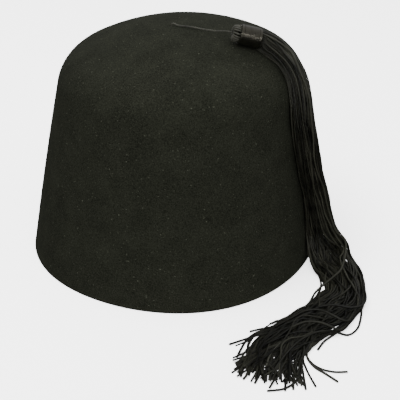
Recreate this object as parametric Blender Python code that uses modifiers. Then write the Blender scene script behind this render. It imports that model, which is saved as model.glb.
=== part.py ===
# Fez hat: a felt crown with a cord-hung tassel that trails over the side and onto the surface.
# Metres, +Z up. The origin is the centre of the base rim, which stands on z = 0.
# +X points to the side where the tassel falls, and -Y to the front.
import math

import bmesh
import bpy
import numpy as np
from mathutils import Matrix, Vector

# Driving dimensions of the crown
base_half_length = 0.0955
base_half_width = 0.0925
crown_height = 0.148
top_radius = 0.0698
shoulder_radius = 0.027
dome_radius = 0.132
felt_thickness = 0.0025
top_lean = 0.007
wall_bulge = 0.0006
base_wave = 0.0011
base_wave_azimuth = 19.0

# Driving dimensions of the top cord and the tassel
cord_diameter = 0.001
cord_hole_azimuth = -157.0
cord_hole_distance = 0.0076
cord_bow = 0.0026
binding_radius = 0.0063
binding_thickness = 0.001
binding_length = 0.0139
binding_azimuth = -30.3
binding_distance = 0.0428
binding_heading = 33.0
head_radius = 0.0053
head_length = 0.0032
head_lobe_count = 14
head_lobe_depth = 0.0004
tassel_length = 0.312
bundle_thickness = 0.0135
lock_radius = 0.002
tail_distance = 0.041
clearance = 0.0003
rest_height = 0.0001

# Route of the tassel down the crown: azimuth, share of the way from the top centre to the rim,
# and the bundle's size outward and along the wall, as shares of its thickness
wall_columns = ("azimuth", "down", "outward", "along")
wall_rows = [
    (-24.5, 0.252, 0.88, 0.92),
    (-24.5, 0.288, 0.84, 0.86),
    (-25.5, 0.312, 0.79, 0.80),
    (-27.0, 0.335, 0.78, 0.80),
    (-28.5, 0.355, 0.80, 0.81),
    (-30.0, 0.382, 0.81, 0.81),
    (-32.0, 0.425, 0.85, 0.86),
    (-32.5, 0.487, 0.92, 0.94),
    (-31.0, 0.583, 1.00, 1.00),
    (-29.0, 0.660, 1.02, 1.00),
    (-26.0, 0.750, 1.06, 1.00),
    (-24.5, 0.835, 1.22, 0.97),
    (-23.5, 0.900, 1.42, 0.90),
]

# Route of the tail on the surface: azimuth, distance past the rim as a share of the tail
# distance, and the bundle's size across and upright, as shares of its thickness
tail_columns = ("azimuth", "past_rim", "outward", "along")
tail_rows = [
    (-25.4, 0.38, 1.92, 0.80),
    (-28.8, 0.59, 1.94, 0.70),
    (-34.6, 0.81, 1.88, 0.64),
    (-38.8, 0.92, 1.92, 0.62),
    (-44.0, 0.95, 1.98, 0.60),
    (-49.3, 0.99, 2.02, 0.58),
    (-55.5, 0.96, 2.04, 0.55),
    (-61.6, 1.01, 2.28, 0.50),
    (-67.2, 1.14, 2.60, 0.44),
    (-70.5, 1.35, 2.75, 0.38),
    (-72.6, 1.59, 2.85, 0.34),
    (-74.3, 1.83, 2.95, 0.32),
]

# Locks of the tassel: place round the bundle in degrees, share of the way out from its middle,
# place across the fanned end from -1 to 1, share of the length that it reaches, and its size
lock_columns = ("around", "out", "fan", "reach", "size")
lock_rows = [
    (0.0, 1.0, 1.00, 0.945, 1.0),
    (36.0, 1.0, 0.80, 0.975, 1.0),
    (324.0, 1.0, 0.61, 1.000, 1.0),
    (72.0, 1.0, 0.41, 0.970, 1.0),
    (288.0, 1.0, 0.21, 0.990, 1.0),
    (108.0, 1.0, 0.01, 0.955, 1.0),
    (252.0, 1.0, -0.20, 0.980, 1.0),
    (144.0, 1.0, -0.42, 0.955, 1.0),
    (216.0, 1.0, -0.66, 0.975, 1.0),
    (180.0, 1.0, -0.92, 0.950, 1.0),
    (90.0, 0.35, 0.50, 0.930, 1.4),
    (270.0, 0.35, -0.50, 0.935, 1.4),
]

# Share of its radius that a lock loses towards its tip
tip_taper = 0.35

crown_steps = 64
route_spacing = 0.005
skirt_voxel = 0.0009
skirt_keep = 0.075


def clear_scene():
    for obj in list(bpy.data.objects):
        bpy.data.objects.remove(obj, do_unlink=True)


def make_collection(name):
    collection = bpy.data.collections.new(name)
    bpy.context.scene.collection.children.link(collection)
    return collection


def make_material(name, color, roughness, metallic=0.0):
    material = bpy.data.materials.new(name)
    material.use_nodes = True
    shader = material.node_tree.nodes["Principled BSDF"]
    shader.inputs["Base Color"].default_value = (*color, 1.0)
    shader.inputs["Roughness"].default_value = roughness
    shader.inputs["Metallic"].default_value = metallic
    return material


def add_object(name, mesh, collection, material=None):
    obj = bpy.data.objects.new(name, mesh)
    collection.objects.link(obj)
    if material:
        mesh.materials.clear()
        mesh.materials.append(material)
        mesh.shade_smooth()
        mesh.set_sharp_from_angle(angle=math.radians(50))
    return obj


def hide_helper(obj):
    obj.hide_render = True
    obj.display_type = "WIRE"
    return obj


def frozen_mesh(obj, name):
    bpy.context.view_layer.update()
    depsgraph = bpy.context.evaluated_depsgraph_get()
    mesh = bpy.data.meshes.new_from_object(obj.evaluated_get(depsgraph), depsgraph=depsgraph)
    mesh.transform(obj.matrix_world)
    mesh.name = name
    bpy.data.objects.remove(obj, do_unlink=True)
    return mesh


# Lines of the crown's outer section: a wall, a shoulder arc and a shallow dome, each tangent
# to the next, as a turned form before it is made oval
def crown_lines():
    mean_radius = math.sqrt(base_half_length * base_half_width)
    slope = math.atan2(mean_radius - top_radius, crown_height)
    offset = mean_radius - shoulder_radius / math.cos(slope)
    dome_centre = crown_height - dome_radius
    a = math.tan(slope) ** 2 + 1.0
    b = -2.0 * (offset * math.tan(slope) + dome_centre)
    c = offset ** 2 + dome_centre ** 2 - (dome_radius - shoulder_radius) ** 2
    arc_z = (-b + math.sqrt(b * b - 4.0 * a * c)) / (2.0 * a)
    arc_x = offset - arc_z * math.tan(slope)
    joint_angle = math.atan2(arc_z - dome_centre, arc_x)
    wall_top = arc_z + shoulder_radius * math.sin(slope)
    return mean_radius, slope, dome_centre, arc_x, arc_z, joint_angle, wall_top


def crown_section(inset, wall_steps, arc_steps, dome_steps):
    mean_radius, slope, dome_centre, arc_x, arc_z, joint_angle, _ = crown_lines()
    arc_radius = shoulder_radius - inset
    cap_radius = dome_radius - inset
    points = []
    for k in range(dome_steps + 1):
        angle = math.pi / 2 + (joint_angle - math.pi / 2) * k / dome_steps
        points.append((cap_radius * math.cos(angle), dome_centre + cap_radius * math.sin(angle)))
    for k in range(1, arc_steps + 1):
        angle = joint_angle + (slope - joint_angle) * k / arc_steps
        points.append((arc_x + arc_radius * math.cos(angle), arc_z + arc_radius * math.sin(angle)))
    top_x, top_z = points[-1]
    rim_x = mean_radius - inset / math.cos(slope)
    for k in range(1, wall_steps + 1):
        share = k / wall_steps
        bulge = wall_bulge * 4.0 * share * (1.0 - share)
        points.append((top_x + (rim_x - top_x) * share + bulge, top_z * (1.0 - share)))
    return points


# Place on the hat of a point of the turned form: oval, leaning and slightly out of round
def crown_shape(radius, z, azimuth):
    mean_radius, wall_top = crown_lines()[0], crown_lines()[-1]
    fade = max(0.0, 1.0 - z / wall_top)
    wave = base_wave * fade * math.cos(4.0 * (azimuth - math.radians(base_wave_azimuth)))
    grown = radius * (1.0 + wave / mean_radius)
    lean = top_lean * z / crown_height
    return Vector((grown * base_half_length / mean_radius * math.cos(azimuth) + lean,
                   grown * base_half_width / mean_radius * math.sin(azimuth),
                   z))


fine_section = np.array(crown_section(0.0, 30, 30, 30))
fine_travel = np.concatenate([[0.0], np.cumsum(np.hypot(*np.diff(fine_section, axis=0).T))])
whole_travel = float(fine_travel[-1])


def crown_face(azimuth, travel):
    radius = float(np.interp(travel, fine_travel, fine_section[:, 0]))
    z = float(np.interp(travel, fine_travel, fine_section[:, 1]))
    return crown_shape(radius, z, azimuth)


# Point at a height over the crown's outer face, and the direction that faces away from it,
# for an azimuth in degrees and a distance along the face from the top centre
def crown_point(azimuth_degrees, distance, lift=0.0):
    azimuth = math.radians(azimuth_degrees)
    step, turn = 0.001, math.radians(1.0)
    first = max(distance - step, 0.0)
    last = min(first + 2.0 * step, whole_travel)
    down = crown_face(azimuth, last) - crown_face(azimuth, first)
    side = crown_face(azimuth + turn, distance) - crown_face(azimuth - turn, distance)
    normal = down.cross(side).normalized()
    return crown_face(azimuth, distance) + normal * lift, normal


def make_crown(collection, cutters, material):
    outer = crown_section(0.0, 4, 7, 5)
    inner = crown_section(felt_thickness, 4, 7, 5)
    profile = outer + inner[::-1]
    profile[0] = (0.0, profile[0][1])
    profile[-1] = (0.0, profile[-1][1])
    mesh = bpy.data.meshes.new("crown_profile")
    mesh.from_pydata([(x, 0.0, z) for x, z in profile], [(i, i + 1) for i in range(len(profile) - 1)], [])
    turned = add_object("crown_profile", mesh, collection)
    screw = turned.modifiers.new("Turn", "SCREW")
    screw.steps = crown_steps
    screw.render_steps = crown_steps
    screw.use_merge_vertices = True
    screw.merge_threshold = 0.00001
    shaped = frozen_mesh(turned, "crown")
    for vertex in shaped.vertices:
        x, y, z = vertex.co
        vertex.co = crown_shape(math.hypot(x, y), z, math.atan2(y, x))
    crown = add_object("crown", shaped, collection, material)

    place, _ = crown_point(cord_hole_azimuth, cord_hole_distance)
    bpy.ops.mesh.primitive_cylinder_add(vertices=16, radius=cord_diameter / 2 + clearance,
                                        depth=6.0 * felt_thickness, location=place)
    hole = hide_helper(bpy.context.object)
    hole.name = "cord_hole_cutter"
    for owner in list(hole.users_collection):
        owner.objects.unlink(hole)
    cutters.objects.link(hole)

    cut = crown.modifiers.new("Cord hole", "BOOLEAN")
    cut.operation = "DIFFERENCE"
    cut.solver = "EXACT"
    cut.object = hole
    return crown


# Axis of the binding, which lies on the crown's top and points the way that the tassel falls
def binding_axis():
    lift = binding_radius + clearance
    centre, normal = crown_point(binding_azimuth, binding_distance, lift)
    ahead, _ = crown_point(binding_azimuth, binding_distance + 0.001, lift)
    outward = (ahead - centre).normalized()
    side = normal.cross(outward).normalized()
    heading = math.radians(binding_heading)
    direction = (outward * math.cos(heading) + side * math.sin(heading)).normalized()
    return centre, direction, normal


def axis_matrix(origin, direction, normal):
    side = normal.cross(direction).normalized()
    upright = direction.cross(side).normalized()
    matrix = Matrix((side, upright, direction)).transposed().to_4x4()
    matrix.translation = origin
    return matrix


# Smooth curve through chosen points, read at an even spacing
def smooth_route(points, spacing, values=None):
    points = np.array([tuple(p) for p in points])
    columns = points if values is None else np.hstack([points, np.array(values)])
    chord = np.linalg.norm(np.diff(points, axis=0), axis=1) ** 0.5
    knots = np.concatenate([[0.0], np.cumsum(chord)])
    slopes = np.zeros_like(columns)
    for i in range(len(columns)):
        low, high = max(i - 1, 0), min(i + 1, len(columns) - 1)
        if low < i < high:
            before = (columns[i] - columns[low]) / (knots[i] - knots[low])
            after = (columns[high] - columns[i]) / (knots[high] - knots[i])
            weight = (knots[i] - knots[low]) / (knots[high] - knots[low])
            slopes[i] = before * (1.0 - weight) + after * weight
        else:
            slopes[i] = (columns[high] - columns[low]) / (knots[high] - knots[low])
    dense = []
    for i in range(len(columns) - 1):
        width = knots[i + 1] - knots[i]
        for t in np.linspace(0.0, 1.0, 25)[(1 if i else 0):]:
            start = (2 * t ** 3 - 3 * t ** 2 + 1) * columns[i] + (t ** 3 - 2 * t ** 2 + t) * width * slopes[i]
            end = (3 * t ** 2 - 2 * t ** 3) * columns[i + 1] + (t ** 3 - t ** 2) * width * slopes[i + 1]
            dense.append(start + end)
    dense = np.array(dense)
    travel = np.concatenate([[0.0], np.cumsum(np.linalg.norm(np.diff(dense[:, :3], axis=0), axis=1))])
    count = max(2, int(round(travel[-1] / spacing)) + 1)
    even = np.linspace(0.0, travel[-1], count)
    return even, np.column_stack([np.interp(even, travel, dense[:, k]) for k in range(dense.shape[1])])


# The bundle's route from the binding to the end of the tail, with its outward direction and sizes
def bundle_route():
    centre, direction, normal = binding_axis()
    exit_size = 2.0 * (binding_radius - binding_thickness - clearance)
    points, outs, sizes = [], [], []
    for past in (3.0 * clearance, 0.2 * binding_length):
        points.append(centre + direction * (binding_length / 2 + past))
        outs.append(normal)
        sizes.append((exit_size, exit_size))
    for row in wall_rows:
        station = dict(zip(wall_columns, row))
        outward = station["outward"] * bundle_thickness
        lift = outward / 2 + clearance
        point, out = crown_point(station["azimuth"], station["down"] * whole_travel, lift)
        points.append(point)
        outs.append(out)
        sizes.append((outward, station["along"] * bundle_thickness))
    for row in tail_rows:
        station = dict(zip(tail_columns, row))
        rim, _ = crown_point(station["azimuth"], whole_travel)
        azimuth = math.radians(station["azimuth"])
        away = Vector((math.cos(azimuth), math.sin(azimuth), 0.0))
        along = station["along"] * bundle_thickness
        point = rim + away * station["past_rim"] * tail_distance
        point.z = along / 2 + rest_height
        points.append(point)
        sizes.append((station["outward"] * bundle_thickness, along))
    landing = len(outs)
    points.append(points[-1] + (points[-1] - points[-2]).normalized() * tassel_length / 2)
    sizes.append(sizes[-1])
    for i in range(landing, len(points)):
        ahead = points[min(i + 1, len(points) - 1)] - points[max(i - 1, landing)]
        outs.append(Vector((-ahead.y, ahead.x, 0.0)).normalized())
    return points, outs, sizes, landing


def lock_paths():
    points, outs, sizes, landing = bundle_route()
    columns = [(*out, *size) for out, size in zip(outs, sizes)]
    travel, rows = smooth_route(points, route_spacing, columns)
    middle = rows[:, :3]
    tangent = np.gradient(middle, axis=0)
    tangent /= np.linalg.norm(tangent, axis=1)[:, None]
    out = rows[:, 3:6]
    out = out - (out * tangent).sum(1)[:, None] * tangent
    out /= np.linalg.norm(out, axis=1)[:, None]
    along = np.cross(tangent, out)
    landed = travel[int(np.argmin(np.linalg.norm(middle - np.array(points[landing]), axis=1)))]
    longest = tassel_length - head_length - binding_length - 4.0 * clearance
    fan_over = max((longest - landed) / 2, route_spacing)

    def station(stop):
        place = [float(np.interp(stop, travel, middle[:, k])) for k in range(3)]
        side_way = [float(np.interp(stop, travel, out[:, k])) for k in range(3)]
        high_way = [float(np.interp(stop, travel, along[:, k])) for k in range(3)]
        width, height = [float(np.interp(stop, travel, rows[:, k])) for k in (6, 7)]
        return Vector(place), Vector(side_way), Vector(high_way), width, height

    paths = []
    for row in lock_rows:
        lock = dict(zip(lock_columns, row))
        angle = math.radians(lock["around"])
        reach = longest * lock["reach"]
        stops = np.append(np.arange(0.0, reach - route_spacing / 2, route_spacing), reach)
        path = []
        for stop in stops.tolist():
            place, side_way, high_way, width, height = station(stop)
            fan = min(1.0, max(0.0, (stop - landed + fan_over / 2) / fan_over))
            fan = fan * fan * (3.0 - 2.0 * fan)
            swelling = 1.0 + (lock["size"] - 1.0) * (1.0 - fan)
            taper = 1.0 - tip_taper * (stop / longest) ** 6
            radius = lock_radius * swelling * taper
            across = lock["out"] * math.cos(angle) * (1.0 - fan) + lock["fan"] * fan
            upright = lock["out"] * math.sin(angle)
            point = place + side_way * max(width / 2 - radius, 0.0) * across
            point += high_way * max(height / 2 - radius, 0.0) * upright
            point.z = max(point.z, radius + rest_height)
            path.append((point, radius))
        paths.append(path)
    return paths


def tube_mesh(name, path, radius, collection, resolution):
    curve = bpy.data.curves.new(name, "CURVE")
    curve.dimensions = "3D"
    curve.bevel_depth = radius
    curve.bevel_resolution = resolution
    curve.use_fill_caps = True
    spline = curve.splines.new("POLY")
    spline.points.add(len(path) - 1)
    for point, (place, size) in zip(spline.points, path):
        point.co = (*place, 1.0)
        point.radius = size / radius
    tube = bpy.data.objects.new(name, curve)
    collection.objects.link(tube)
    mesh = frozen_mesh(tube, name)
    work = bmesh.new()
    work.from_mesh(mesh)
    bmesh.ops.remove_doubles(work, verts=work.verts, dist=0.000001)
    bmesh.ops.recalc_face_normals(work, faces=work.faces)
    work.to_mesh(mesh)
    work.free()
    return mesh


# Head of the tassel: the strands' gathered loops round a socket for the cord, on a turned neck
def head_mesh(collection):
    centre, direction, normal = binding_axis()
    neck_radius = binding_radius - binding_thickness - clearance
    socket_radius = cord_diameter / 2 + clearance
    back = -binding_length / 2 - clearance
    top = back - head_length
    profile = [
        (0.0, top + head_length * 1.10),
        (socket_radius, top + head_length * 1.10),
        (socket_radius, top + head_length * 0.55),
        (head_radius * 0.34, top + head_length * 0.20),
        (head_radius * 0.58, top),
        (head_radius * 0.82, top + head_length * 0.12),
        (head_radius * 0.97, top + head_length * 0.38),
        (head_radius, top + head_length * 0.68),
        (head_radius * 0.95, back),
        (neck_radius, back),
        (neck_radius, binding_length / 2 + clearance * 2.0),
        (neck_radius * 0.80, binding_length / 2 + neck_radius),
        (0.0, binding_length / 2 + neck_radius * 1.3),
    ]
    mesh = bpy.data.meshes.new("head_profile")
    mesh.from_pydata([(x, 0.0, -z) for x, z in profile], [(i, i + 1) for i in range(len(profile) - 1)], [])
    turned = add_object("head_profile", mesh, collection)
    screw = turned.modifiers.new("Turn", "SCREW")
    screw.steps = head_lobe_count * 4
    screw.render_steps = head_lobe_count * 4
    screw.use_merge_vertices = True
    screw.merge_threshold = 0.00001
    shaped = frozen_mesh(turned, "tassel_head")
    for vertex in shaped.vertices:
        x, y, z = vertex.co
        radius = math.hypot(x, y)
        if radius > head_radius * 0.3 and -z < back + 1e-6:
            lobe = 0.5 - 0.5 * math.cos(head_lobe_count * math.atan2(y, x))
            weight = min(1.0, (radius - head_radius * 0.3) / (head_radius * 0.3))
            factor = 1.0 - head_lobe_depth * lobe * weight / radius
            vertex.co.x = x * factor
            vertex.co.y = y * factor
        vertex.co.z = -z
    flipped = bmesh.new()
    flipped.from_mesh(shaped)
    bmesh.ops.recalc_face_normals(flipped, faces=flipped.faces)
    flipped.to_mesh(shaped)
    flipped.free()
    shaped.transform(axis_matrix(centre, direction, normal))
    return shaped


def make_tassel(collection, cutters, material):
    joined = bmesh.new()
    for number, path in enumerate(lock_paths()):
        tube = tube_mesh("lock_%02d" % number, path, lock_radius, collection, 2)
        joined.from_mesh(tube)
        bpy.data.meshes.remove(tube)
    mesh = bpy.data.meshes.new("tassel")
    joined.to_mesh(mesh)
    joined.free()
    tassel = add_object("tassel", mesh, collection, material)
    fuse = tassel.modifiers.new("Fuse locks", "REMESH")
    fuse.mode = "VOXEL"
    fuse.voxel_size = skirt_voxel
    thin = tassel.modifiers.new("Thin faces", "DECIMATE")
    thin.ratio = skirt_keep
    head = hide_helper(add_object("tassel_head_form", head_mesh(collection), cutters))
    join = tassel.modifiers.new("Join head", "BOOLEAN")
    join.operation = "UNION"
    join.solver = "EXACT"
    join.object = head
    return tassel


def make_binding(collection, material):
    centre, direction, normal = binding_axis()
    inner = binding_radius - binding_thickness
    half = binding_length / 2
    soft = binding_thickness * 0.35
    profile = [
        (inner, -half + soft),
        (inner + soft, -half),
        (binding_radius - soft, -half),
        (binding_radius, -half + soft),
        (binding_radius, half - soft),
        (binding_radius - soft, half),
        (inner + soft, half),
        (inner, half - soft),
    ]
    mesh = bpy.data.meshes.new("binding_profile")
    count = len(profile)
    mesh.from_pydata([(x, 0.0, z) for x, z in profile], [(i, (i + 1) % count) for i in range(count)], [])
    turned = add_object("binding_profile", mesh, collection)
    screw = turned.modifiers.new("Turn", "SCREW")
    screw.steps = 32
    screw.render_steps = 32
    screw.use_merge_vertices = True
    screw.merge_threshold = 0.00001
    shaped = frozen_mesh(turned, "tassel_binding")
    work = bmesh.new()
    work.from_mesh(shaped)
    bmesh.ops.recalc_face_normals(work, faces=work.faces)
    work.to_mesh(shaped)
    work.free()
    shaped.transform(axis_matrix(centre, direction, normal))
    return add_object("tassel_binding", shaped, collection, material)


# Cord: up through its hole, over the top of the crown and into the head's socket
def cord_route():
    radius = cord_diameter / 2
    hole, _ = crown_point(cord_hole_azimuth, cord_hole_distance)
    centre, direction, _ = binding_axis()
    socket = centre - direction * (binding_length / 2 + clearance + head_length * 0.2)
    before = centre - direction * (binding_length / 2 + clearance + head_length * 2.0)
    ahead = (before - hole).normalized()
    aside = Vector((-ahead.y, ahead.x, 0.0)).normalized()
    bend = 3.0 * cord_diameter
    points = [
        hole + Vector((0.0, 0.0, -felt_thickness * 0.8)),
        hole + Vector((0.0, 0.0, radius)),
        hole + Vector((ahead.x * bend / 2, ahead.y * bend / 2, bend / 2)),
    ]
    first = hole + Vector((ahead.x * 1.6 * bend, ahead.y * 1.6 * bend, 0.0))
    for share, rise in ((0.0, 0.0), (0.25, 0.04), (0.5, 0.2), (0.75, 0.6)):
        place = first.lerp(before, share) + aside * cord_bow * math.sin(math.pi * share)
        centre_x = top_lean * place.z / crown_height
        azimuth = math.degrees(math.atan2(place.y, place.x - centre_x))
        face, _ = crown_point(azimuth, math.hypot(place.x - centre_x, place.y), radius + clearance)
        place.z = face.z + (before.z - face.z) * rise
        points.append(place)
    return points + [before, socket]


def make_cord(collection, material):
    _, rows = smooth_route(cord_route(), cord_diameter * 2.0)
    path = [(Vector(row), cord_diameter / 2) for row in rows.tolist()]
    mesh = tube_mesh("tassel_cord", path, cord_diameter / 2, collection, 2)
    return add_object("tassel_cord", mesh, collection, material)


def build():
    clear_scene()
    hat = make_collection("fez_hat")
    cutters = make_collection("fez_hat_cutters")
    felt = make_material("black_felt", (0.018, 0.018, 0.014), 0.95)
    silk = make_material("black_tassel_cord", (0.017, 0.017, 0.013), 0.55)
    thread = make_material("black_binding_thread", (0.022, 0.021, 0.015), 0.4)
    make_crown(hat, cutters, felt)
    make_tassel(hat, cutters, silk)
    make_binding(hat, thread)
    make_cord(hat, silk)


build()
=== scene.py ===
import math

import bpy
import numpy as np
from mathutils import Matrix, Vector


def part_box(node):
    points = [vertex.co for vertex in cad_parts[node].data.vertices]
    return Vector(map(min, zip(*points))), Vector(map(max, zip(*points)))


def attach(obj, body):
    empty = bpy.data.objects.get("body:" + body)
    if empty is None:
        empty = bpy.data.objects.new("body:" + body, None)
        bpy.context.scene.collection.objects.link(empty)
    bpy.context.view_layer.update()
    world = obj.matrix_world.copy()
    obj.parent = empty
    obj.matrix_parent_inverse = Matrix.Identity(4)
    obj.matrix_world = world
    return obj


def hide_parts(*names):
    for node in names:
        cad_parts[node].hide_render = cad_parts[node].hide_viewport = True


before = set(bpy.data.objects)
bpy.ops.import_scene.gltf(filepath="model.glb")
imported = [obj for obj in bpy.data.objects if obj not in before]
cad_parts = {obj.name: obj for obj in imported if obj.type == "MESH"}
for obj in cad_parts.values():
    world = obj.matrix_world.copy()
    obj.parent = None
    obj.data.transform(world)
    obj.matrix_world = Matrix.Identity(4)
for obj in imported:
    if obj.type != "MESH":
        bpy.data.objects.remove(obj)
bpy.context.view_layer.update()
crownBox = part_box("crown")
print("frame loaded with", len(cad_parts), "nodes")


# colours are written as sRGB hex and turned to linear here
def linearColour(hexText):
    channels = [int(hexText[i:i + 2], 16) / 255.0 for i in (1, 3, 5)]
    return [c / 12.92 if c <= 0.04045 else ((c + 0.055) / 1.055) ** 2.4 for c in channels] + [1.0]


# adds one node; a setting or link is named by its socket, its socket's number, or a node property
def addNode(tree, kind, settings=None, links=None):
    node = tree.nodes.new(kind)
    for name, value in (settings or {}).items():
        if isinstance(name, int) or name in node.inputs:
            node.inputs[name].default_value = value
        else:
            setattr(node, name, value)
    for name, source in (links or {}).items():
        tree.links.new(source, node.inputs[name])
    return node


def newMaterial(name):
    material = bpy.data.materials.new(name)
    material.use_nodes = True
    tree = material.node_tree
    return material, tree, tree.nodes["Principled BSDF"]


# camera: where it stood for the photo, found from the hat's outline
cameraSettings = {
    "position": (0.00963, -0.500, 0.32591),
    "pitchDown": 31.169,
    "yaw": 0.7735,
    "roll": -0.377,
    "lens": 77.72,
    "sensor": 36.0,
    "imageSize": 400,
}


def cameraAxes():
    pitch, yaw, roll = (math.radians(cameraSettings[k]) for k in ("pitchDown", "yaw", "roll"))
    forward = Vector((math.sin(yaw) * math.cos(pitch), math.cos(yaw) * math.cos(pitch), -math.sin(pitch)))
    level = Vector((math.cos(yaw), -math.sin(yaw), 0.0))
    upright = level.cross(forward)
    right = level * math.cos(roll) + upright * math.sin(roll)
    up = upright * math.cos(roll) - level * math.sin(roll)
    return right, up, forward


def makeCamera():
    right, up, forward = cameraAxes()
    data = bpy.data.cameras.new("photoCamera")
    data.lens = cameraSettings["lens"]
    data.sensor_width = cameraSettings["sensor"]
    data.clip_start = 0.01
    camera = bpy.data.objects.new("photoCamera", data)
    turn = Matrix((right, up, -forward)).transposed().to_4x4()
    turn.translation = Vector(cameraSettings["position"])
    camera.matrix_world = turn
    bpy.context.scene.collection.objects.link(camera)
    bpy.context.scene.camera = camera


# the point at a height over the floor that shows at a pixel of the photo
def atPixel(px, py, height):
    right, up, forward = cameraAxes()
    focal = cameraSettings["imageSize"] * cameraSettings["lens"] / cameraSettings["sensor"]
    half = cameraSettings["imageSize"] / 2
    ray = forward + right * ((px - half) / focal) - up * ((py - half) / focal)
    start = Vector(cameraSettings["position"])
    return start + ray * ((height - start.z) / ray.z)


makeCamera()
print("camera made")

# crown: the same sizes as the frame's, and the steps and edge that only show here
crown = {
    "baseHalfLength": 0.0955,
    "baseHalfWidth": 0.0925,
    "height": crownBox[1].z,
    "topRadius": 0.0698,
    "shoulderRadius": 0.027,
    "domeRadius": 0.132,
    "feltThickness": 0.0025,
    "topLean": 0.007,
    "wallBulge": 0.0006,
    "baseWave": 0.0011,
    "baseWaveAzimuth": 19.0,
    "turns": 240,
    "edgeRound": 0.0006,
    "holeAzimuth": -157.0,
    "holeDistance": 0.0076,
    "dimpleRadius": 0.0022,
    "dimpleDepth": 0.0005,
    "dimpleReach": 0.008,
    "capRadius": 0.02,
    "capSteps": 34,
}
meanRadius = math.sqrt(crown["baseHalfLength"] * crown["baseHalfWidth"])


# wall, shoulder arc and dome of the turned form, each tangent to the next
def crownLines():
    slope = math.atan2(meanRadius - crown["topRadius"], crown["height"])
    offset = meanRadius - crown["shoulderRadius"] / math.cos(slope)
    domeCentre = crown["height"] - crown["domeRadius"]
    a = math.tan(slope) ** 2 + 1.0
    b = -2.0 * (offset * math.tan(slope) + domeCentre)
    c = offset ** 2 + domeCentre ** 2 - (crown["domeRadius"] - crown["shoulderRadius"]) ** 2
    arcZ = (-b + math.sqrt(b * b - 4.0 * a * c)) / (2.0 * a)
    arcX = offset - arcZ * math.tan(slope)
    joint = math.atan2(arcZ - domeCentre, arcX)
    return slope, domeCentre, arcX, arcZ, joint


wallTop = crownLines()[3] + crown["shoulderRadius"] * math.sin(crownLines()[0])


def crownSection(inset, wallSteps, arcSteps, domeSteps):
    slope, domeCentre, arcX, arcZ, joint = crownLines()
    angles = np.linspace(math.pi / 2, joint, domeSteps + 1)
    cap = crown["domeRadius"] - inset
    dome = np.column_stack([cap * np.cos(angles), domeCentre + cap * np.sin(angles)])
    angles = np.linspace(joint, slope, arcSteps + 1)[1:]
    bend = crown["shoulderRadius"] - inset
    arc = np.column_stack([arcX + bend * np.cos(angles), arcZ + bend * np.sin(angles)])
    share = np.linspace(0.0, 1.0, wallSteps + 1)[1:]
    topX, topZ = arc[-1]
    rimX = meanRadius - inset / math.cos(slope)
    wallX = topX + (rimX - topX) * share + crown["wallBulge"] * 4.0 * share * (1.0 - share)
    wall = np.column_stack([wallX, topZ * (1.0 - share)])
    return np.vstack([dome, arc, wall])


# turned form to hat: oval, leaning and slightly out of round
def crownShape(radius, z, azimuth):
    fade = np.maximum(0.0, 1.0 - z / wallTop)
    wave = crown["baseWave"] * fade * np.cos(4.0 * (azimuth - math.radians(crown["baseWaveAzimuth"])))
    grown = radius * (1.0 + wave / meanRadius)
    lean = crown["topLean"] * z / crown["height"]
    x = grown * crown["baseHalfLength"] / meanRadius * np.cos(azimuth) + lean
    y = grown * crown["baseHalfWidth"] / meanRadius * np.sin(azimuth)
    return np.stack(np.broadcast_arrays(x, y, z), axis=-1)


fineSection = crownSection(0.0, 60, 60, 60)
fineTravel = np.concatenate([[0.0], np.cumsum(np.hypot(*np.diff(fineSection, axis=0).T))])
wholeTravel = float(fineTravel[-1])


def crownFace(azimuth, travel):
    radius = np.interp(travel, fineTravel, fineSection[:, 0])
    z = np.interp(travel, fineTravel, fineSection[:, 1])
    return crownShape(radius, z, azimuth)


# point at a height over the outer face, and the direction that faces away from it
def crownPoint(azimuthDegrees, distance, lift=0.0):
    azimuth = math.radians(azimuthDegrees)
    step, turn = 0.001, math.radians(1.0)
    first = max(distance - step, 0.0)
    last = min(first + 2.0 * step, wholeTravel)
    down = Vector(crownFace(azimuth, last) - crownFace(azimuth, first))
    side = Vector(crownFace(azimuth + turn, distance) - crownFace(azimuth - turn, distance))
    normal = down.cross(side).normalized()
    return Vector(crownFace(azimuth, distance)) + normal * lift, normal


# one smooth curve through chosen points, read at an even spacing, with other columns carried along
def smoothRoute(points, spacing, values=None):
    points = np.array([tuple(p) for p in points])
    columns = points if values is None else np.hstack([points, np.array(values)])
    knots = np.concatenate([[0.0], np.cumsum(np.linalg.norm(np.diff(points, axis=0), axis=1) ** 0.5)])
    slopes = np.zeros_like(columns)
    last = len(columns) - 1
    for i in range(last + 1):
        low, high = max(i - 1, 0), min(i + 1, last)
        if low < i < high:
            before = (columns[i] - columns[low]) / (knots[i] - knots[low])
            after = (columns[high] - columns[i]) / (knots[high] - knots[i])
            weight = (knots[i] - knots[low]) / (knots[high] - knots[low])
            slopes[i] = before * (1.0 - weight) + after * weight
        else:
            slopes[i] = (columns[high] - columns[low]) / (knots[high] - knots[low])
    dense = []
    for i in range(last):
        width = knots[i + 1] - knots[i]
        for t in np.linspace(0.0, 1.0, 25)[(1 if i else 0):]:
            leaving = (t ** 3 - 2 * t ** 2 + t) * width * slopes[i]
            start = (2 * t ** 3 - 3 * t ** 2 + 1) * columns[i] + leaving
            end = (3 * t ** 2 - 2 * t ** 3) * columns[i + 1] + (t ** 3 - t ** 2) * width * slopes[i + 1]
            dense.append(start + end)
    dense = np.array(dense)
    travel = np.concatenate([[0.0], np.cumsum(np.linalg.norm(np.diff(dense[:, :3], axis=0), axis=1))])
    even = np.linspace(0.0, travel[-1], max(2, int(round(travel[-1] / spacing)) + 1))
    return even, np.column_stack([np.interp(even, travel, dense[:, k]) for k in range(dense.shape[1])])


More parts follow.
